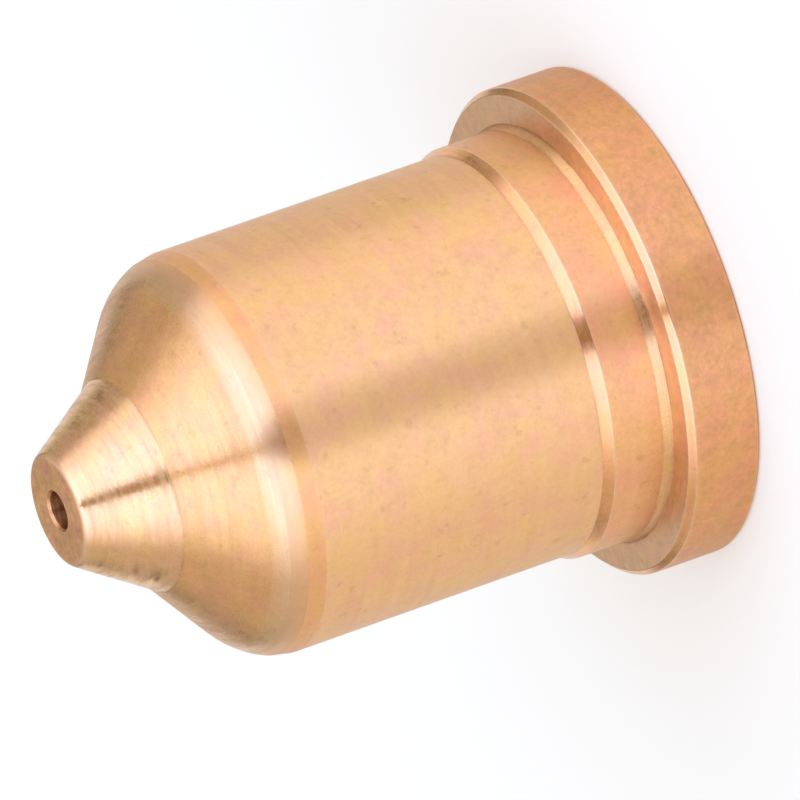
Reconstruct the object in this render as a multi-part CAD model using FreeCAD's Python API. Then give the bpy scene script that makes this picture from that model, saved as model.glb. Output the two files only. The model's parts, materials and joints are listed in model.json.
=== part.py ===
"""Plasma torch nozzle, turned from one piece of copper. All lengths are in millimetres, all angles in degrees.

The nozzle stands on the flat back face of its flange, with its tip up. The vertical axis is the bore's axis, and
the origin is at the centre of the back face.
"""
import FreeCAD, Part
import os
from math import cos, radians, sin, tan

# Flange at the back, which the retaining cap clamps
FLANGE_DIAMETER = 17.5
FLANGE_THICKNESS = 2.72
FLANGE_FRONT_CHAMFER = 0.2
FLANGE_BACK_CHAMFER = 0.12

# Small cone in the corner between the collar and the flange
ROOT_CONE_LENGTH = 0.34
ROOT_CONE_RISE = 0.14

# Collar, a little larger than the body, and the cone that steps down from it
COLLAR_DIAMETER = 14.78
COLLAR_LENGTH = 1.86
STEP_CONE_LENGTH = 0.38

# Straight body
BODY_DIAMETER = 14.36
BODY_LENGTH = 10.67

# Narrow facet at the end of the body, then a round stretch, then the shoulder's cone
FACET_LENGTH = 0.61
FACET_ANGLE = 11.7
SHOULDER_RADIUS = 2.56
SHOULDER_RADIUS_END_ANGLE = 22.1
SHOULDER_CONE_ANGLE = 51.1

# Tip cone, from the foot of the shoulder to the flat face around the orifice
TIP_FOOT_DIAMETER = 7.56
TIP_CONE_ANGLE = 32.9
TIP_FACE_DIAMETER = 3.95
TIP_EDGE_RADIUS = 0.3

# Orifice that the arc leaves by
ORIFICE_DIAMETER = 1.34
ORIFICE_LENGTH = 3.3
ORIFICE_MOUTH_CHAMFER = 0.08

# Inside: a cone that closes down to the orifice, the chamber around the electrode, and the swirl ring's seat
FUNNEL_ANGLE = 40.0
FUNNEL_BLEND_RADIUS = 0.8
CHAMBER_DIAMETER = 9.4
CHAMBER_MOUTH_CHAMFER = 0.15
SEAT_DIAMETER = 11.8
SEAT_DEPTH = 5.0
SEAT_CORNER_RADIUS = 0.2
SEAT_MOUTH_CHAMFER = 0.3


def at(radius, height):
    """A point of the half section, by its distance from the axis and its height above the back face."""
    return FreeCAD.Vector(radius, 0, height)


def rounded_corner(before, corner, after, radius):
    """The start, middle and end of the arc of this radius that touches both lines which meet at the corner."""
    back = (before - corner).normalize()
    onward = (after - corner).normalize()
    half_angle = back.getAngle(onward) / 2
    reach = radius / tan(half_angle)
    centre = corner + (back + onward).normalize() * (radius / sin(half_angle))
    middle = centre + (corner - centre).normalize() * radius
    return corner + back * reach, middle, corner + onward * reach


def turned(start, moves):
    """The solid turned from a closed half section. A move is the end of a line, or the middle and end of an arc."""
    edges = []
    here = start
    for move in moves:
        end = move[-1]
        if len(move) == 2:
            edges.append(Part.Arc(here, move[0], end).toShape())
        else:
            edges.append(Part.LineSegment(here, end).toShape())
        here = end
    half_section = Part.Face(Part.Wire(edges))
    return half_section.revolve(FreeCAD.Vector(0, 0, 0), FreeCAD.Vector(0, 0, 1), 360)


def outside_moves():
    """The outside, from the flange's back edge to the tip face, with the corners that the bore's moves need."""
    flange = FLANGE_DIAMETER / 2
    collar = COLLAR_DIAMETER / 2
    body = BODY_DIAMETER / 2
    root = collar + ROOT_CONE_RISE

    collar_back = FLANGE_THICKNESS + ROOT_CONE_LENGTH
    collar_front = collar_back + COLLAR_LENGTH
    body_back = collar_front + STEP_CONE_LENGTH
    body_front = body_back + BODY_LENGTH

    # The facet leans in from the body, and the round stretch starts at its front edge
    round_back = at(body - FACET_LENGTH * tan(radians(FACET_ANGLE)), body_front + FACET_LENGTH)

    def round_point(angle):
        """The point of the round stretch whose surface leans at this angle to the axis."""
        start_angle = radians(SHOULDER_RADIUS_END_ANGLE)
        inward = SHOULDER_RADIUS * (cos(start_angle) - cos(radians(angle)))
        upward = SHOULDER_RADIUS * (sin(radians(angle)) - sin(start_angle))
        return at(round_back.x - inward, round_back.z + upward)

    round_middle = round_point((SHOULDER_RADIUS_END_ANGLE + SHOULDER_CONE_ANGLE) / 2)
    round_front = round_point(SHOULDER_CONE_ANGLE)

    foot = TIP_FOOT_DIAMETER / 2
    tip = TIP_FACE_DIAMETER / 2
    foot_height = round_front.z + (round_front.x - foot) / tan(radians(SHOULDER_CONE_ANGLE))
    tip_height = foot_height + (foot - tip) / tan(radians(TIP_CONE_ANGLE))
    tip_arc = rounded_corner(at(foot, foot_height), at(tip, tip_height), at(0, tip_height), TIP_EDGE_RADIUS)

    moves = [
        (at(flange, FLANGE_BACK_CHAMFER),),
        (at(flange, FLANGE_THICKNESS - FLANGE_FRONT_CHAMFER),),
        (at(flange - FLANGE_FRONT_CHAMFER, FLANGE_THICKNESS),),
        (at(root, FLANGE_THICKNESS),),
        (at(collar, collar_back),),
        (at(collar, collar_front),),
        (at(body, body_back),),
        (at(body, body_front),),
        (round_back,),
        (round_middle, round_front),
        (at(foot, foot_height),),
        (tip_arc[0],),
        (tip_arc[1], tip_arc[2]),
    ]
    return moves, tip_height


def inside_moves(tip_height):
    """The inside, from the orifice's mouth in the tip face back to the mouth of the swirl ring's seat."""
    orifice = ORIFICE_DIAMETER / 2
    chamber = CHAMBER_DIAMETER / 2
    seat = SEAT_DIAMETER / 2

    funnel_front = tip_height - ORIFICE_LENGTH
    funnel_back = funnel_front - (chamber - orifice) / tan(radians(FUNNEL_ANGLE))
    blend = rounded_corner(
        at(orifice, funnel_front), at(chamber, funnel_back), at(chamber, SEAT_DEPTH), FUNNEL_BLEND_RADIUS)
    seat_corner = rounded_corner(
        at(chamber, SEAT_DEPTH), at(seat, SEAT_DEPTH), at(seat, 0), SEAT_CORNER_RADIUS)

    return [
        (at(orifice + ORIFICE_MOUTH_CHAMFER, tip_height),),
        (at(orifice, tip_height - ORIFICE_MOUTH_CHAMFER),),
        (at(orifice, funnel_front),),
        (blend[0],),
        (blend[1], blend[2]),
        (at(chamber, SEAT_DEPTH + CHAMBER_MOUTH_CHAMFER),),
        (at(chamber + CHAMBER_MOUTH_CHAMFER, SEAT_DEPTH),),
        (seat_corner[0],),
        (seat_corner[1], seat_corner[2]),
        (at(seat, SEAT_MOUTH_CHAMFER),),
        (at(seat + SEAT_MOUTH_CHAMFER, 0),),
    ]


def nozzle():
    """The whole nozzle: one half section, outside and inside, turned about the axis."""
    back_edge = at(FLANGE_DIAMETER / 2 - FLANGE_BACK_CHAMFER, 0)
    outside, tip_height = outside_moves()
    return turned(back_edge, outside + inside_moves(tip_height) + [(back_edge,)])


os.makedirs("parts", exist_ok=True)
shape = nozzle()
shape.exportStep("parts/nozzle.step")
box = shape.BoundBox
print("nozzle: valid", shape.isValid(), "solids", len(shape.Solids), "volume", round(shape.Volume, 2), "mm3")
print("box", round(box.XLength, 3), round(box.YLength, 3), round(box.ZLength, 3), "base at", round(box.ZMin, 4))
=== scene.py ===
import json
from math import cos, pi, radians, sin, tan

import bpy
import numpy as np
from mathutils import Matrix, Vector


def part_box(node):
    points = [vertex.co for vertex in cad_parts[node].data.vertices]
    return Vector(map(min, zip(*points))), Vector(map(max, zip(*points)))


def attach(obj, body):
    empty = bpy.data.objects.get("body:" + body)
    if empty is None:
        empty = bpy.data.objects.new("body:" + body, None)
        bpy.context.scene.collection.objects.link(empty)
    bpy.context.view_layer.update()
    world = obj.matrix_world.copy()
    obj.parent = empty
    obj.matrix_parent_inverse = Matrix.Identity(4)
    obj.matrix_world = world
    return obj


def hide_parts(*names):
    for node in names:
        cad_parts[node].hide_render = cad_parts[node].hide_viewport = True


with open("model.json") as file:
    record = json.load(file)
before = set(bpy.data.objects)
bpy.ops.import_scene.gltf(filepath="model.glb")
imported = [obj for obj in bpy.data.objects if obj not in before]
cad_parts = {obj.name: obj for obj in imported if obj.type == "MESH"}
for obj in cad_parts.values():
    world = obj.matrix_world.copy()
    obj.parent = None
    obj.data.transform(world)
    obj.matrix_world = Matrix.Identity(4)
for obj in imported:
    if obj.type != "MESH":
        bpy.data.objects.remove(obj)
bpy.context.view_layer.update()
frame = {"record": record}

# The photograph's view
# A long lens looks down on the standing nozzle and is rolled over, so that the tip points to the lower
# left. The tip's place in the picture, the tilt, the roll and the scale are read off the photograph.
MM = 0.001
PICTURE_SIDE_PX = 800
TIP_CENTRE_PX = (59.5, 510.3)
PX_PER_MM = 29.39
TILT = radians(22.39)
ROLL = radians(19.31)
FOCAL_LENGTH_PX = 20000
SENSOR_MM = 36.0
TIP_NEARER_PX = 126
NEAREST = 0.05
FARTHEST = 20

mounts = {mount["name"]: mount for mount in frame["record"]["mounts"]}
tip_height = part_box("nozzle")[1][2]

forward = Vector((0, cos(TILT), -sin(TILT)))
right = Vector((-sin(ROLL), -sin(TILT) * cos(ROLL), -cos(TILT) * cos(ROLL)))
up = right.cross(forward)
px = MM / PX_PER_MM
centre_px = PICTURE_SIDE_PX / 2
tip_from_camera = (
    right * (TIP_CENTRE_PX[0] - centre_px) * px
    - up * (TIP_CENTRE_PX[1] - centre_px) * px
    + forward * (FOCAL_LENGTH_PX - TIP_NEARER_PX) * px)
camera_place = Vector((0, 0, tip_height)) - tip_from_camera

camera_data = bpy.data.cameras.new("camera")
camera_data.sensor_width = SENSOR_MM
camera_data.lens = SENSOR_MM * FOCAL_LENGTH_PX / PICTURE_SIDE_PX
camera_data.clip_start = NEAREST
camera_data.clip_end = FARTHEST
camera = bpy.data.objects.new("camera", camera_data)
camera.matrix_world = Matrix.Translation(camera_place) @ Matrix((right, up, -forward)).transposed().to_4x4()
bpy.context.scene.collection.objects.link(camera)
bpy.context.scene.camera = camera

# Nozzle
# One piece of copper, turned on a lathe outside and bored from the back, with every edge slightly broken.
# It's a profile carried once round the axis. Lengths are in millimetres, and the radii and heights that
# other parts fit come from the frame.
FLANGE_FRONT_CHAMFER = 0.22
FLANGE_BACK_CHAMFER = 0.12
ROOT_CONE_RISE = 0.14
FACET_LENGTH = 0.61
FACET_ANGLE = radians(11.7)
SHOULDER_RADIUS = 2.56
ROUNDED_SHARE = 0.96
SHOULDER_END_ANGLE = radians(22.1)
SHOULDER_CONE_ANGLE = radians(51.1)
TIP_FOOT_RADIUS = 3.78
TIP_FACE_RADIUS = 1.975
TIP_EDGE_RADIUS = 0.3
ORIFICE_RADIUS = 0.67
ORIFICE_LENGTH = 3.3
ORIFICE_CHAMFER = 0.08
FUNNEL_ANGLE = radians(40)
FUNNEL_BLEND_RADIUS = 0.8
CHAMBER_MOUTH_CHAMFER = 0.15
SEAT_DEPTH = 5.0
SEAT_CORNER_RADIUS = 0.2
SEAT_MOUTH_CHAMFER = 0.3
BROKEN_EDGE = 0.03
MARK_WIDTH = 0.1
MARK_START = 0.4
MARK_ANGLE = radians(30)
ARC_STEPS = 7
TURNS = 256


def radius_of(name):
    """A round mount's radius in millimetres."""
    return mounts[name]["dims"]["r_mm"]


def ends_of(name):
    """The heights in millimetres at which a round mount's wall starts and ends."""
    middle = mounts[name]["pos_m"][2] / MM
    half = mounts[name]["dims"]["length_mm"] / 2
    return middle - half, middle + half


def rounded_profile(corners, radii, steps, mark_width):
    """A closed outline with arcs at its corners, its outward normals, and marks that fade out at the arcs.

    Each corner sits between two straight stretches with normals A and B, set w apart. The normal along the
    arc is (sin((1 - t) w) A + sin(t w) B) / sin w, and the arc's point is the corner less the rounding times
    the unit bisector over cos(w / 2), plus the rounding times that normal. Where the outline is hollow the
    rounding is negative. Before and after each arc is one more point, mark_width away or a third of the
    straight that's left. The marks are 0 at these points, MARK_START at the arc's ends, and from there rise
    by a half sine, one mark at ridges and one at hollows, to 1 in the middle of a corner that turns by
    MARK_ANGLE or more.
    """
    onward = np.roll(corners, -1, axis=0) - corners
    length_after = np.linalg.norm(onward, axis=1, keepdims=True)
    onward /= length_after
    before = np.roll(onward, 1, axis=0)
    normal_after = np.stack([onward[:, 1], -onward[:, 0]], axis=1)
    normal_before = np.roll(normal_after, 1, axis=0)
    turn = before[:, 0] * onward[:, 1] - before[:, 1] * onward[:, 0]
    angle = np.arccos(np.clip((normal_before * normal_after).sum(axis=1), -1, 1))
    bisector = normal_before + normal_after
    bisector /= np.linalg.norm(bisector, axis=1, keepdims=True)
    rounding = np.where(turn > 0, radii, -radii)[:, None, None]

    t = np.linspace(0, 1, steps)[None, :, None]
    w = angle[:, None, None]
    turned = np.sin((1 - t) * w) * normal_before[:, None] + np.sin(t * w) * normal_after[:, None]
    normals = turned / np.sin(w)
    points = corners[:, None] - rounding * bisector[:, None] / np.cos(w / 2) + rounding * normals

    reach = (radii * np.tan(angle / 2))[:, None]
    straight_after = length_after - reach - np.roll(reach, -1, axis=0)
    straight_before = np.roll(straight_after, 1, axis=0)
    first = points[:, 0] - before * np.minimum(mark_width, straight_before / 3)
    last = points[:, -1] + onward * np.minimum(mark_width, straight_after / 3)
    points = np.concatenate([first[:, None], points, last[:, None]], axis=1)
    normals = np.concatenate([normals[:, :1], normals, normals[:, -1:]], axis=1)
    rise = np.concatenate([[0], MARK_START + (1 - MARK_START) * np.sin(pi * t.ravel()), [0]])
    rise = rise * np.minimum(angle / MARK_ANGLE, 1)[:, None]
    ridge = rise * (turn > 0)[:, None]
    hollow = rise * (turn <= 0)[:, None]
    return points.reshape(-1, 2), normals.reshape(-1, 2), ridge.ravel(), hollow.ravel()


def turned_mesh(name, points, normals, marks, turns):
    """A closed outline of points (r, z) carried round the axis.

    Point (i, j) is (r_i cos a_j, r_i sin a_j, z_i) for the turn a_j, and its normal is the outline's normal
    turned the same way. Both directions of the grid close on themselves. The UV map "turning" holds the
    share of the outline's length and the share of the turn.
    """
    count = len(points)
    steps = np.linalg.norm(np.roll(points, -1, axis=0) - points, axis=1)
    along = np.concatenate([[0], np.cumsum(steps)])
    angle = np.linspace(0, 2 * pi, turns, endpoint=False)
    ring = np.stack([np.cos(angle), np.sin(angle)], axis=1)

    def carried(pairs):
        """The pairs (r, z), turned to every angle."""
        flat = pairs[:, None, 0, None] * ring[None]
        high = np.repeat(pairs[:, 1], turns).reshape(count, turns, 1)
        return np.concatenate([flat, high], axis=2).reshape(-1, 3)

    i, j = np.meshgrid(np.arange(count), np.arange(turns), indexing="ij")
    next_i = (i + 1) % count
    next_j = (j + 1) % turns
    row = i * turns
    next_row = next_i * turns
    quads = np.stack([row + j, row + next_j, next_row + next_j, next_row + j], axis=-1)

    mesh = bpy.data.meshes.new(name)
    mesh.from_pydata(carried(points) * MM, [], quads.reshape(-1, 4))
    mesh.polygons.foreach_set("use_smooth", np.ones(count * turns, dtype=bool))

    u = np.stack([along[i], along[i], along[i + 1], along[i + 1]], axis=-1)
    v = np.stack([j, j + 1, j + 1, j], axis=-1) / turns
    layer = mesh.uv_layers.new(name="turning")
    layer.uv.foreach_set("vector", np.stack([u / along[-1], v], axis=-1).astype(np.float32).ravel())

    for label, values in {"along_mm": along[:-1], **marks}.items():
        numbers = mesh.attributes.new(label, "FLOAT", "POINT")
        numbers.data.foreach_set("value", np.repeat(values, turns).astype(np.float32))
    mesh.normals_split_custom_set_from_vertices(carried(normals))
    return mesh


flange = radius_of("flange_rim")
collar = radius_of("collar")
body = radius_of("body")
seat = radius_of("swirl_ring_seat")
chamber = radius_of("chamber")
collar_back, collar_front = ends_of("collar")
body_back, body_front = ends_of("body")
flange_front = mounts["flange_front"]["pos_m"][2] / MM
tip = tip_height / MM

facet_front = (body - FACET_LENGTH * tan(FACET_ANGLE), body_front + FACET_LENGTH)
arc_inward = SHOULDER_RADIUS * (cos(SHOULDER_END_ANGLE) - cos(SHOULDER_CONE_ANGLE))
arc_upward = SHOULDER_RADIUS * (sin(SHOULDER_CONE_ANGLE) - sin(SHOULDER_END_ANGLE))
cone_back = (facet_front[0] - arc_inward, facet_front[1] + arc_upward)
foot_height = cone_back[1] + (cone_back[0] - TIP_FOOT_RADIUS) / tan(SHOULDER_CONE_ANGLE)
arc_reach = SHOULDER_RADIUS * tan((SHOULDER_CONE_ANGLE - SHOULDER_END_ANGLE) / 2)
shoulder_corner = (
    cone_back[0] + arc_reach * sin(SHOULDER_CONE_ANGLE),
    cone_back[1] - arc_reach * cos(SHOULDER_CONE_ANGLE))
funnel_front = tip - ORIFICE_LENGTH
funnel_back = funnel_front - (chamber - ORIFICE_RADIUS) / tan(FUNNEL_ANGLE)

# Each corner of the half section: its radius, its height, the rounding there and the finish of the stretch
# that follows it, from the back face up the outside and down the inside. The shoulder's rounding is a
# little less than its radius, so that a short straight is left at either end.
SATIN, COLLAR, EDGE, RIM_AND_BACK, FINE, SHOULDER, TIP, FLANGE_FACE, FACED, BORED = range(10)
outline = np.array([
    (flange - FLANGE_BACK_CHAMFER, 0, BROKEN_EDGE, RIM_AND_BACK),
    (flange, FLANGE_BACK_CHAMFER, BROKEN_EDGE, RIM_AND_BACK),
    (flange, flange_front - FLANGE_FRONT_CHAMFER, BROKEN_EDGE * 3, FINE),
    (flange - FLANGE_FRONT_CHAMFER, flange_front, BROKEN_EDGE * 3, FLANGE_FACE),
    (collar + ROOT_CONE_RISE, flange_front, BROKEN_EDGE, SHOULDER),
    (collar, collar_back, BROKEN_EDGE * 2, COLLAR),
    (collar, collar_front, BROKEN_EDGE * 2, FINE),
    (body, body_back, BROKEN_EDGE * 2, SATIN),
    (body, body_front, BROKEN_EDGE * 8, EDGE),
    (*facet_front, BROKEN_EDGE * 3, EDGE),
    (*shoulder_corner, SHOULDER_RADIUS * ROUNDED_SHARE, SHOULDER),
    (TIP_FOOT_RADIUS, foot_height, BROKEN_EDGE * 3, TIP),
    (TIP_FACE_RADIUS, tip, TIP_EDGE_RADIUS, FACED),
    (ORIFICE_RADIUS + ORIFICE_CHAMFER, tip, BROKEN_EDGE, BORED),
    (ORIFICE_RADIUS, tip - ORIFICE_CHAMFER, BROKEN_EDGE, BORED),
    (ORIFICE_RADIUS, funnel_front, BROKEN_EDGE * 2, BORED),
    (chamber, funnel_back, FUNNEL_BLEND_RADIUS, BORED),
    (chamber, SEAT_DEPTH + CHAMBER_MOUTH_CHAMFER, BROKEN_EDGE, BORED),
    (chamber + CHAMBER_MOUTH_CHAMFER, SEAT_DEPTH, BROKEN_EDGE, BORED),
    (seat, SEAT_DEPTH, SEAT_CORNER_RADIUS, BORED),
    (seat, SEAT_MOUTH_CHAMFER, BROKEN_EDGE, BORED),
    (seat + SEAT_MOUTH_CHAMFER, 0, BROKEN_EDGE, RIM_AND_BACK),
])
points, normals, ridge, hollow = rounded_profile(outline[:, :2], outline[:, 2], ARC_STEPS, MARK_WIDTH)
mesh = turned_mesh("turned_nozzle", points, normals, {"ridge": ridge, "hollow": hollow}, TURNS)

# The finishes meet in the middle of each corner
per_corner = ARC_STEPS + 2
stretch = (np.arange(len(points)) + per_corner - per_corner // 2) // per_corner - 1
finish = outline[stretch % len(outline), 3].astype(np.int32)
mesh.polygons.foreach_set("material_index", np.repeat(finish, TURNS))
nozzle = bpy.data.objects.new("turned_nozzle", mesh)
bpy.context.scene.collection.objects.link(nozzle)
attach(nozzle, "root")
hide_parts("nozzle")

# Copper finishes
# Bare copper all over: filmed over where the cut was light, bright where it was sharp, and dull where it was
# handled, heated or bored, with painted shade darkening the flange's rim and the bore. Each finish is one
# material function with its own values, built on three groups.
FLOAT = "NodeSocketFloat"
COLOUR = "NodeSocketColor"


def new_node(tree, kind, operation=None, **values):
    """A shader node with its operation and its inputs set, each input by its name with _ for a space."""
    node = tree.nodes.new(kind)
    if operation:
        node.operation = operation
    for key, value in values.items():
        node.inputs[key.replace("_", " ")].default_value = value
    return node


def new_group(name, inputs, outputs):
    """An empty node group with named inputs, each given as its kind and value, and named outputs."""
    group = bpy.data.node_groups.new(name, "ShaderNodeTree")
    for label, (kind, value) in inputs.items():
        socket = group.interface.new_socket(label, in_out="INPUT", socket_type=kind)
        socket.default_value = value
    for label, kind in outputs.items():
        group.interface.new_socket(label, in_out="OUTPUT", socket_type=kind)
    return group, group.nodes.new("NodeGroupInput"), group.nodes.new("NodeGroupOutput")


def placed(tree, group, **values):
    """A node group placed in a material or in another group, with this place's own values."""
    node = tree.nodes.new("ShaderNodeGroup")
    node.node_tree = group
    for key, value in values.items():
        node.inputs[key.replace("_", " ")].default_value = value
    return node


def fed(tree, node, index, source):
    """Puts a socket or a plain number into a node's input."""
    if isinstance(source, (int, float)):
        node.inputs[index].default_value = source
    else:
        tree.links.new(source, node.inputs[index])


def maths(tree, operation, *sources):
    """A Math node fed by sockets or plain numbers; returns its output socket."""
    node = new_node(tree, "ShaderNodeMath", operation)
    for index, source in enumerate(sources):
        fed(tree, node, index, source)
    return node.outputs["Value"]


def spread(tree, source, low, high, to_low=0.0, to_high=1.0, soft=True):
    """A number stretched so that low becomes to_low and high becomes to_high, and held there beyond."""
    node = new_node(tree, "ShaderNodeMapRange", From_Min=low, From_Max=high, To_Min=to_low, To_Max=to_high)
    node.interpolation_type = "SMOOTHSTEP" if soft else "LINEAR"
    tree.links.new(source, node.inputs["Value"])
    return node.outputs["Result"]


def blended(tree, factor, first, second):
    """Two colours, sockets or plain values, blended by a number; returns the colour socket."""
    node = tree.nodes.new("ShaderNodeMix")
    node.data_type = "RGBA"
    tree.links.new(factor, node.inputs["Factor"])
    for label, source in (("A", first), ("B", second)):
        socket = next(found for found in node.inputs if found.name == label and found.type == "RGBA")
        if isinstance(source, tuple):
            socket.default_value = source
        else:
            tree.links.new(source, socket)
    return next(found for found in node.outputs if found.type == "RGBA")


def attribute(tree, label):
    """One of the mesh's own numbers, as a socket."""
    node = tree.nodes.new("ShaderNodeAttribute")
    node.attribute_name = label
    return node.outputs["Fac"]


# Turned noise: noise drawn out into rings, which run round the axis without a seam. It's read at the
# direction from the axis and the distance along the profile, each with its own scale.
turned_noise, start, end = new_group(
    "turned noise",
    {"Around Scale": (FLOAT, 2.0), "Along Scale": (FLOAT, 10.0), "Detail": (FLOAT, 3.0)},
    {"Noise": FLOAT})
tree = turned_noise
place = new_node(tree, "ShaderNodeTexCoord")
flat = new_node(tree, "ShaderNodeVectorMath", "MULTIPLY")
flat.inputs[1].default_value = (1, 1, 0)
tree.links.new(place.outputs["Object"], flat.inputs[0])
outward = new_node(tree, "ShaderNodeVectorMath", "NORMALIZE")
tree.links.new(flat.outputs["Vector"], outward.inputs[0])
around = new_node(tree, "ShaderNodeVectorMath", "SCALE")
tree.links.new(outward.outputs["Vector"], around.inputs[0])
tree.links.new(start.outputs["Around Scale"], around.inputs["Scale"])
along_axis = new_node(tree, "ShaderNodeCombineXYZ")
tree.links.new(maths(tree, "MULTIPLY", attribute(tree, "along_mm"), start.outputs["Along Scale"]),
               along_axis.inputs["Z"])
ring_place = new_node(tree, "ShaderNodeVectorMath", "ADD")
tree.links.new(around.outputs["Vector"], ring_place.inputs[0])
tree.links.new(along_axis.outputs["Vector"], ring_place.inputs[1])
noise = new_node(tree, "ShaderNodeTexNoise", Scale=1.0, Roughness=0.6)
tree.links.new(ring_place.outputs["Vector"], noise.inputs["Vector"])
tree.links.new(start.outputs["Detail"], noise.inputs["Detail"])
tree.links.new(noise.outputs["Fac"], end.inputs["Noise"])

# Turning marks: grooves at the tool's feed that waver a little and come and go, with finer scratches on
# them. Height and depths are in millimetres. Coarse is 1 where the cut is coarse and 0 where it's fine.
WAVER_IN_PITCHES = 1.2
GROOVED_RANGE = (0.3, 0.7)
COARSE_RANGE = (0.36, 0.64)
RINGS_SHARE = 0.6

turning_marks, start, end = new_group(
    "turning marks",
    {"Groove Pitch": (FLOAT, 0.33), "Groove Depth": (FLOAT, 0.003), "Scratch Depth": (FLOAT, 0.0005)},
    {"Height": FLOAT, "Coarse": FLOAT})
tree = turning_marks
waver = placed(tree, turned_noise, Around_Scale=1.2, Along_Scale=1.5, Detail=2.0)
feed = maths(tree, "DIVIDE", attribute(tree, "along_mm"), start.outputs["Groove Pitch"])
phase = maths(tree, "MULTIPLY_ADD", waver.outputs["Noise"], WAVER_IN_PITCHES, feed)
swing = maths(tree, "SINE", maths(tree, "MULTIPLY", phase, 2 * pi))
uneven = placed(tree, turned_noise, Around_Scale=0.8, Along_Scale=3.1, Detail=1.0)
grooved = spread(tree, uneven.outputs["Noise"], *GROOVED_RANGE)
depth = maths(tree, "MULTIPLY", grooved, start.outputs["Groove Depth"])
scratch = placed(tree, turned_noise, Around_Scale=3.5, Along_Scale=14.0, Detail=4.0)
scratches = maths(tree, "MULTIPLY", scratch.outputs["Noise"], start.outputs["Scratch Depth"])
tree.links.new(maths(tree, "MULTIPLY_ADD", swing, depth, scratches), end.inputs["Height"])
rings = placed(tree, turned_noise, Around_Scale=1.4, Along_Scale=3.4, Detail=2.0)
coarse = maths(tree, "MULTIPLY_ADD", rings.outputs["Noise"], RINGS_SHARE,
               maths(tree, "MULTIPLY", scratch.outputs["Noise"], 1 - RINGS_SHARE))
tree.links.new(spread(tree, coarse, *COARSE_RANGE, soft=False), end.inputs["Coarse"])

# Copper tone: the metal's colour with pinker and yellower clouds, a mottle and a fine grain along the rings
# that make it lighter and darker, dull spots, paler rubbed ridges, and patches of dirt and painted shade
# in the hollows.
# Sizes are in millimetres. A range runs from the noise that leaves no mark to the noise that marks fully.
PINK_RANGE = (0.4, 0.65)
YELLOW_RANGE = (0.42, 0.65)
YELLOW_TO_PINK_SIZE = 1.6
WIDE_MOTTLE_SIZE = 0.55
NARROW_MOTTLE_SIZE = 0.2
GRAIN_SIZE = 0.07
GRAIN_SHARE = 0.6
SPOT_RANGE = (0.62, 0.74)
DIRT_AND_SHADE_RANGE = (0.38, 0.62)

copper_tone, start, end = new_group(
    "copper tone",
    {"Metal": (COLOUR, (0.95, 0.56, 0.3, 1)), "Pink": (COLOUR, (0.95, 0.49, 0.3, 1)),
     "Yellow": (COLOUR, (0.93, 0.6, 0.27, 1)), "Rubbed": (COLOUR, (0.97, 0.7, 0.45, 1)),
     "Grime": (COLOUR, (0.4, 0.19, 0.09, 1)), "Cloud Size": (FLOAT, 1.2), "Cloud Amount": (FLOAT, 0.5),
     "Mottle": (FLOAT, 0.1), "Grain": (FLOAT, 0.1), "Spot Size": (FLOAT, 0.35), "Spot Amount": (FLOAT, 0.3),
     "Ridge Rub": (FLOAT, 0.5), "Hollow Grime": (FLOAT, 0.4)},
    {"Colour": COLOUR, "Dull": FLOAT, "Mottled": FLOAT})
tree = copper_tone
place = new_node(tree, "ShaderNodeTexCoord")


def patches(tree, place, size, detail=2.5):
    """Noise between 0 and 1 in patches of this size in millimetres."""
    noise = new_node(tree, "ShaderNodeTexNoise", Detail=detail, Roughness=0.55)
    tree.links.new(place.outputs["Object"], noise.inputs["Vector"])
    tree.links.new(maths(tree, "DIVIDE", 1 / MM, size), noise.inputs["Scale"])
    return noise.outputs["Fac"]


def swung(tree, value, noise, amount):
    """A number made larger and smaller by twice this amount times how far the noise is from its middle."""
    off_middle = maths(tree, "SUBTRACT", noise, 0.5)
    swing = maths(tree, "MULTIPLY", off_middle, maths(tree, "MULTIPLY", amount, 2.0))
    return maths(tree, "MULTIPLY", value, maths(tree, "ADD", swing, 1.0))


size, amount = start.outputs["Cloud Size"], start.outputs["Cloud Amount"]
pink_clouds = spread(tree, patches(tree, place, size), *PINK_RANGE)
yellow_size = maths(tree, "MULTIPLY", size, YELLOW_TO_PINK_SIZE)
yellow_clouds = spread(tree, patches(tree, place, yellow_size), *YELLOW_RANGE)
pinker = maths(tree, "MULTIPLY", pink_clouds, amount)
yellower = maths(tree, "MULTIPLY", yellow_clouds, amount)
colour = blended(tree, pinker, start.outputs["Metal"], start.outputs["Pink"])
colour = blended(tree, yellower, colour, start.outputs["Yellow"])

wide_mottle = patches(tree, place, WIDE_MOTTLE_SIZE)
narrow_mottle = patches(tree, place, NARROW_MOTTLE_SIZE)
mottle = maths(tree, "MULTIPLY", maths(tree, "ADD", wide_mottle, narrow_mottle), 0.5)
streaks = placed(tree, turned_noise, Around_Scale=30.0, Along_Scale=14.0, Detail=2.0)
grain = maths(tree, "MULTIPLY_ADD", patches(tree, place, GRAIN_SIZE, 1.0), GRAIN_SHARE,
              maths(tree, "MULTIPLY", streaks.outputs["Noise"], 1 - GRAIN_SHARE))
level = swung(tree, 1.0, mottle, start.outputs["Mottle"])
level = swung(tree, level, grain, start.outputs["Grain"])
levelled = new_node(tree, "ShaderNodeVectorMath", "SCALE")
tree.links.new(colour, levelled.inputs[0])
tree.links.new(level, levelled.inputs["Scale"])

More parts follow.
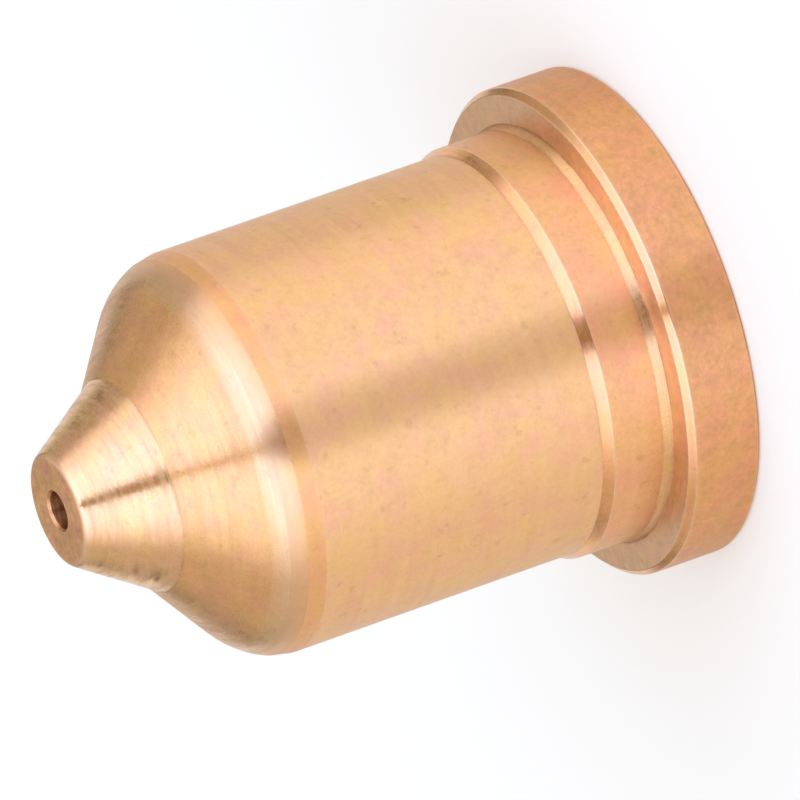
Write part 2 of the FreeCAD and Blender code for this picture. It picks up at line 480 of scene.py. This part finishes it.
spotted = spread(tree, patches(tree, place, start.outputs["Spot Size"], 2.0), *SPOT_RANGE)
spots = maths(tree, "MULTIPLY", spotted, start.outputs["Spot Amount"])
# Painted shade: patches in the hollow corners are darkened as a crease's shade would be, together with dirt.
lying = placed(tree, turned_noise, Around_Scale=3.0, Along_Scale=2.0, Detail=4.0)
dirt_and_shade_patches = spread(tree, lying.outputs["Noise"], *DIRT_AND_SHADE_RANGE)
hollow_dirt_and_shade = maths(tree, "MULTIPLY", attribute(tree, "hollow"),
              maths(tree, "MULTIPLY", dirt_and_shade_patches, start.outputs["Hollow Grime"]))
dull = maths(tree, "MAXIMUM", spots, hollow_dirt_and_shade)
colour = blended(tree, dull, levelled.outputs["Vector"], start.outputs["Grime"])
rub = maths(tree, "MULTIPLY", attribute(tree, "ridge"), start.outputs["Ridge Rub"])
tree.links.new(blended(tree, rub, colour, start.outputs["Rubbed"]), end.inputs["Colour"])
tree.links.new(dull, end.inputs["Dull"])
tree.links.new(mottle, end.inputs["Mottled"])


# What all the copper finishes share: how much the mottle and the dull spots change the roughness, and how
# much of the light is left where it only grazes the metal
PATCHINESS = 0.04
PATCHY_RANGE = (0.3, 0.7)
DULL_ROUGHNESS = 0.1
EDGE_TINT = (0.84, 0.84, 0.84, 1)


def copper(name, smooth, rough, drawn_out, tone, marks):
    """Bare turned copper: its roughness where the cut is fine and where it's coarse, its tone and its marks.

    The highlight is drawn out along the profile, across the turning marks, fully where drawn_out is 1. The
    roughness is also up to PATCHINESS higher or lower with the mottle, and higher where the metal is dull.
    """
    material = bpy.data.materials.new(name)
    material.use_nodes = True
    tree = material.node_tree
    shader = tree.nodes["Principled BSDF"]
    shader.inputs["Metallic"].default_value = 1.0
    shader.inputs["Anisotropic"].default_value = drawn_out
    shader.inputs["Specular Tint"].default_value = EDGE_TINT
    tangent = tree.nodes.new("ShaderNodeTangent")
    tangent.direction_type = "UV_MAP"
    tangent.uv_map = "turning"
    tree.links.new(tangent.outputs["Tangent"], shader.inputs["Tangent"])

    tone_node = placed(tree, copper_tone, **tone)
    marks_node = placed(tree, turning_marks, **marks)
    tree.links.new(tone_node.outputs["Colour"], shader.inputs["Base Color"])
    cut = spread(tree, marks_node.outputs["Coarse"], 0, 1, smooth, rough, soft=False)
    patchy = spread(tree, tone_node.outputs["Mottled"], *PATCHY_RANGE, -PATCHINESS, PATCHINESS, soft=False)
    roughness = maths(tree, "MULTIPLY_ADD", tone_node.outputs["Dull"], DULL_ROUGHNESS,
                      maths(tree, "ADD", cut, patchy))
    tree.links.new(roughness, shader.inputs["Roughness"])
    bump = new_node(tree, "ShaderNodeBump", Strength=1.0, Distance=MM)
    tree.links.new(marks_node.outputs["Height"], bump.inputs["Height"])
    tree.links.new(bump.outputs["Normal"], shader.inputs["Normal"])
    return material


# The ten finishes are added to the mesh in the order of their numbers in the outline

# Satin copper: the body, finished with a light cut and filmed over since, so that it's clouded and its
# rings hardly show.
mesh.materials.append(copper(
    "satin copper", 0.33, 0.39, 1.0,
    {"Metal": (0.985, 0.57, 0.275, 1), "Pink": (0.985, 0.52, 0.305, 1), "Yellow": (0.98, 0.585, 0.245, 1),
     "Cloud_Size": 1.0, "Cloud_Amount": 0.75, "Mottle": 0.25, "Grain": 0.13,
     "Spot_Size": 0.45, "Spot_Amount": 0.18, "Ridge_Rub": 0.4, "Hollow_Grime": 0.3},
    {"Groove_Pitch": 0.14, "Groove_Depth": 0.0002, "Scratch_Depth": 0.0005}))

# Collar copper: the collar, as the body but pinker, where the cap that slides over it has worn the film.
mesh.materials.append(copper(
    "collar copper", 0.32, 0.38, 1.0,
    {"Metal": (0.97, 0.51, 0.24, 1), "Pink": (0.97, 0.455, 0.25, 1), "Yellow": (0.96, 0.54, 0.215, 1),
     "Cloud_Size": 1.1, "Cloud_Amount": 0.75, "Mottle": 0.3, "Grain": 0.14,
     "Spot_Size": 0.45, "Spot_Amount": 0.18, "Ridge_Rub": 0.4, "Hollow_Grime": 0.3},
    {"Groove_Pitch": 0.14, "Groove_Depth": 0.0002, "Scratch_Depth": 0.0005}))

# Edge copper: the facet at the body's end and the start of the round stretch, a shade redder and darker.
mesh.materials.append(copper(
    "edge copper", 0.28, 0.35, 1.0,
    {"Metal": (0.925, 0.485, 0.21, 1), "Pink": (0.925, 0.44, 0.228, 1), "Yellow": (0.91, 0.505, 0.188, 1),
     "Cloud_Size": 0.8, "Cloud_Amount": 0.7, "Mottle": 0.2, "Grain": 0.12,
     "Spot_Size": 0.4, "Spot_Amount": 0.15, "Ridge_Rub": 0.5, "Hollow_Grime": 0.3},
    {"Groove_Pitch": 0.2, "Groove_Depth": 0.0004, "Scratch_Depth": 0.0005}))

# Rim and back copper: the flange's rim and back, more mottled from handling, and darker and redder with
# painted shade that stands in for the shadowed floor close by, which the rim reflects.
mesh.materials.append(copper(
    "handled copper", 0.34, 0.4, 0.95,
    {"Metal": (0.84, 0.41, 0.18, 1), "Pink": (0.84, 0.375, 0.195, 1), "Yellow": (0.83, 0.435, 0.16, 1),
     "Cloud_Size": 1.1, "Cloud_Amount": 0.7, "Mottle": 0.4, "Grain": 0.14,
     "Spot_Size": 0.4, "Spot_Amount": 0.2, "Ridge_Rub": 0.4, "Hollow_Grime": 0.3},
    {"Groove_Pitch": 0.12, "Groove_Depth": 0.0002, "Scratch_Depth": 0.0006}))

# Fine-cut copper: the collar's step and the flange's front chamfer, cut sharp and bright.
mesh.materials.append(copper(
    "fine-cut copper", 0.16, 0.22, 1.0,
    {"Metal": (0.96, 0.495, 0.225, 1), "Pink": (0.96, 0.455, 0.245, 1), "Yellow": (0.94, 0.515, 0.195, 1),
     "Cloud_Size": 0.8, "Cloud_Amount": 0.7, "Mottle": 0.16, "Grain": 0.14,
     "Spot_Size": 0.4, "Spot_Amount": 0.15, "Ridge_Rub": 0.5, "Hollow_Grime": 0.6},
    {"Groove_Pitch": 0.2, "Groove_Depth": 0.0005, "Scratch_Depth": 0.0005}))

# Shoulder copper: the rest of the round stretch, the shoulder's cone and the small cone at the flange,
# bright too, with rings that blur their reflections.
mesh.materials.append(copper(
    "shoulder copper", 0.22, 0.35, 1.0,
    {"Metal": (0.94, 0.54, 0.25, 1), "Pink": (0.94, 0.495, 0.265, 1), "Yellow": (0.92, 0.56, 0.225, 1),
     "Cloud_Size": 0.8, "Cloud_Amount": 0.7, "Mottle": 0.28, "Grain": 0.18,
     "Spot_Size": 0.4, "Spot_Amount": 0.2, "Ridge_Rub": 0.5, "Hollow_Grime": 0.9},
    {"Groove_Pitch": 0.34, "Groove_Depth": 0.001, "Scratch_Depth": 0.0007}))

# Tip copper: the tip cone, paler and cleaner than the shoulder.
mesh.materials.append(copper(
    "tip copper", 0.14, 0.35, 1.0,
    {"Metal": (0.93, 0.565, 0.29, 1), "Pink": (0.93, 0.52, 0.31, 1), "Yellow": (0.91, 0.59, 0.26, 1),
     "Cloud_Size": 0.7, "Cloud_Amount": 0.7, "Mottle": 0.2, "Grain": 0.12,
     "Spot_Size": 0.35, "Spot_Amount": 0.15, "Ridge_Rub": 0.5, "Hollow_Grime": 0.9},
    {"Groove_Pitch": 0.34, "Groove_Depth": 0.0016, "Scratch_Depth": 0.0007}))

# Flange face copper: the flange's front face, paler: a painted lightening that stands in for the less orange
# light it reflects.
mesh.materials.append(copper(
    "rubbed copper", 0.3, 0.38, 0.6,
    {"Metal": (0.93, 0.63, 0.4, 1), "Pink": (0.93, 0.59, 0.415, 1), "Yellow": (0.91, 0.65, 0.37, 1),
     "Cloud_Size": 0.6, "Cloud_Amount": 0.7, "Mottle": 0.3, "Grain": 0.14,
     "Spot_Size": 0.4, "Spot_Amount": 0.2, "Ridge_Rub": 0.3, "Hollow_Grime": 0.6},
    {"Groove_Pitch": 0.16, "Groove_Depth": 0.0003, "Scratch_Depth": 0.0007}))

# Faced copper: the tip face, cut straight across and dulled by heat.
mesh.materials.append(copper(
    "faced copper", 0.36, 0.46, 0.3,
    {"Metal": (0.78, 0.45, 0.235, 1), "Pink": (0.79, 0.41, 0.26, 1), "Yellow": (0.75, 0.46, 0.19, 1),
     "Cloud_Size": 0.7, "Cloud_Amount": 0.9, "Mottle": 0.5, "Grain": 0.16,
     "Spot_Size": 0.35, "Spot_Amount": 0.3, "Ridge_Rub": 0.5, "Hollow_Grime": 0.4},
    {"Groove_Pitch": 0.3, "Groove_Depth": 0.002, "Scratch_Depth": 0.0007}))

# Shaded bore copper: the orifice with its mouth, the funnel, the chamber and the seat. It's duller, and
# darker with painted shade in the bore.
mesh.materials.append(copper(
    "bored copper", 0.3, 0.4, 0.8,
    {"Metal": (0.7, 0.35, 0.15, 1), "Pink": (0.7, 0.31, 0.16, 1), "Yellow": (0.68, 0.37, 0.13, 1),
     "Cloud_Size": 1.4, "Cloud_Amount": 0.5, "Mottle": 0.3, "Grain": 0.16,
     "Spot_Size": 0.5, "Spot_Amount": 0.3, "Ridge_Rub": 0.3, "Hollow_Grime": 0.6},
    {"Groove_Pitch": 0.2, "Groove_Depth": 0.0015, "Scratch_Depth": 0.001}))

# Floor
# A plain pale floor that the nozzle stands on. For the camera and in reflections it's lifted to plain
# white, less the nozzle's own soft shadow. Under the bore, seen through the orifice, it isn't lifted.
FLOOR_HALF_SIDE = 3.0
FLOOR_COLOUR = (0.69, 0.675, 0.57, 1)
FLOOR_ROUGHNESS = 0.9
FLOOR_LIFT = 0.26
WHITE = (1, 1, 1, 1)

corner_signs = np.array([(-1, -1), (1, -1), (1, 1), (-1, 1)])
floor_corners = np.column_stack([corner_signs * FLOOR_HALF_SIDE, np.zeros(4)])
floor_mesh = bpy.data.meshes.new("floor")
floor_mesh.from_pydata(floor_corners, [], [(0, 1, 2, 3)])
floor = bpy.data.objects.new("floor", floor_mesh)
bpy.context.scene.collection.objects.link(floor)

pale = bpy.data.materials.new("pale floor")
pale.use_nodes = True
tree = pale.node_tree
surface = tree.nodes["Principled BSDF"]
surface.inputs["Base Color"].default_value = FLOOR_COLOUR
surface.inputs["Roughness"].default_value = FLOOR_ROUGHNESS
surface.inputs["Specular IOR Level"].default_value = 0.0
surface.inputs["Emission Color"].default_value = WHITE
rays = tree.nodes.new("ShaderNodeLightPath")
seen = maths(tree, "MAXIMUM", rays.outputs["Is Camera Ray"], rays.outputs["Is Glossy Ray"])
seen = maths(tree, "MAXIMUM", seen, rays.outputs["Is Transmission Ray"])
place = tree.nodes.new("ShaderNodeTexCoord")
from_axis = new_node(tree, "ShaderNodeVectorMath", "LENGTH")
tree.links.new(place.outputs["Object"], from_axis.inputs[0])
outside = spread(tree, from_axis.outputs["Value"], seat * MM, flange * MM, 0.0, FLOOR_LIFT)
tree.links.new(maths(tree, "MULTIPLY", seen, outside), surface.inputs["Emission Strength"])
floor_mesh.materials.append(pale)

# Light
# One wide soft light all round, brightest and bluest in front and overhead, with soft patches high up
# behind and low at the right. Down its front runs a dark slot, where the camera looks through, and cut
# metal shows it as a dark line. A dark card stands at the right, a little behind. A thin band at the
# horizon is the white backdrop. A range runs from where a patch begins to show to where it is whole.
DIM_LIGHT = 0.58
FULL_LIGHT = 1.7
DIM_TINT = (1.1, 1.0, 0.92, 1)
FULL_TINT = (0.88, 1.0, 1.4, 1)
FRONT = (0.06, -0.75, 0.75)
FRONT_RANGE = (0.1, 0.95)
BACK_LIGHT = 1.2
BACK_LIGHT_PLACE = (0, 0.35, 0.937)
BACK_LIGHT_RANGE = (0.86, 0.96)
SIDE_LIGHT = 1.5
SIDE_LIGHT_PLACE = (0.93, -0.35, 0.1)
SIDE_LIGHT_RANGE = (0.72, 0.96)
SIDE_LIGHT_COOLNESS = 0.5
CARD_SHADE = 0.8
CARD_PLACE = (0.87, 0.4, 0.28)
CARD_RANGE = (0.86, 0.97)
LOW_BEHIND_SHADE = 0.35
LOW_RANGE = (0.1, 0.4)
BEHIND_RANGE = (0.0, 0.8)
SLOT_LIGHT_LOW = 0.1
SLOT_LIGHT_HIGH = 0.42
SLOT_LIGHT_RANGE = (0.44, 0.68)
SLOT_TINT = (1.3, 1.0, 0.75, 1)
SLOT_MIDDLE = -0.056
SLOT_HALF_WIDTH_LOW = 0.345
SLOT_HALF_WIDTH_HIGH = 0.02
SLOT_TOP = 0.94
SLOT_SOFTNESS = 0.012
HORIZON_RANGE = (0.03, 0.051)

world = bpy.data.worlds.new("studio")
world.use_nodes = True
tree = world.node_tree
background = tree.nodes["Background"]
place = tree.nodes.new("ShaderNodeTexCoord")
split = tree.nodes.new("ShaderNodeSeparateXYZ")
tree.links.new(place.outputs["Generated"], split.inputs["Vector"])
across, away, upward = split.outputs["X"], split.outputs["Y"], split.outputs["Z"]


def towards(tree, place, direction):
    """How far the direction of view leans towards this one: 1 straight at it, 0 at a right angle."""
    node = new_node(tree, "ShaderNodeVectorMath", "DOT_PRODUCT")
    node.inputs[1].default_value = direction
    tree.links.new(place.outputs["Generated"], node.inputs[0])
    return node.outputs["Value"]


full = spread(tree, towards(tree, place, FRONT), *FRONT_RANGE)
light = maths(tree, "MULTIPLY_ADD", full, FULL_LIGHT - DIM_LIGHT, DIM_LIGHT)
back = spread(tree, towards(tree, place, BACK_LIGHT_PLACE), *BACK_LIGHT_RANGE, 0.0, BACK_LIGHT)
side = spread(tree, towards(tree, place, SIDE_LIGHT_PLACE), *SIDE_LIGHT_RANGE)
light = maths(tree, "MAXIMUM", light, back)
light = maths(tree, "MAXIMUM", light, maths(tree, "MULTIPLY", side, SIDE_LIGHT))
card = spread(tree, towards(tree, place, CARD_PLACE), *CARD_RANGE, 1.0, CARD_SHADE)
light = maths(tree, "MULTIPLY", light, card)
low = spread(tree, upward, *LOW_RANGE, 1.0, 0.0)
low_behind = maths(tree, "MULTIPLY", low, spread(tree, away, *BEHIND_RANGE))
light = maths(tree, "MULTIPLY", light, spread(tree, low_behind, 0, 1, 1, LOW_BEHIND_SHADE, soft=False))

# The slot narrows upwards
half_width = spread(tree, upward, 0, SLOT_TOP, SLOT_HALF_WIDTH_LOW, SLOT_HALF_WIDTH_HIGH, soft=False)
off_middle = maths(tree, "ABSOLUTE", maths(tree, "SUBTRACT", across, SLOT_MIDDLE))
off_edge = maths(tree, "SUBTRACT", off_middle, half_width)
in_slot = maths(tree, "MULTIPLY", spread(tree, off_edge, -SLOT_SOFTNESS, SLOT_SOFTNESS, 1.0, 0.0), full)
slot_light = spread(tree, upward, *SLOT_LIGHT_RANGE, SLOT_LIGHT_LOW, SLOT_LIGHT_HIGH)
light = maths(tree, "MULTIPLY_ADD", in_slot, maths(tree, "SUBTRACT", slot_light, light), light)

# The white backdrop has a strength of 1
above = spread(tree, upward, *HORIZON_RANGE)
light = maths(tree, "MULTIPLY_ADD", above, maths(tree, "SUBTRACT", light, 1.0), 1.0)
cool = maths(tree, "MAXIMUM", full, maths(tree, "MULTIPLY", side, SIDE_LIGHT_COOLNESS))
tint = blended(tree, in_slot, blended(tree, cool, DIM_TINT, FULL_TINT), SLOT_TINT)
tree.links.new(blended(tree, above, WHITE, tint), background.inputs["Color"])
tree.links.new(light, background.inputs["Strength"])
bpy.context.scene.world = world
bpy.context.scene.view_settings.view_transform = "Standard"
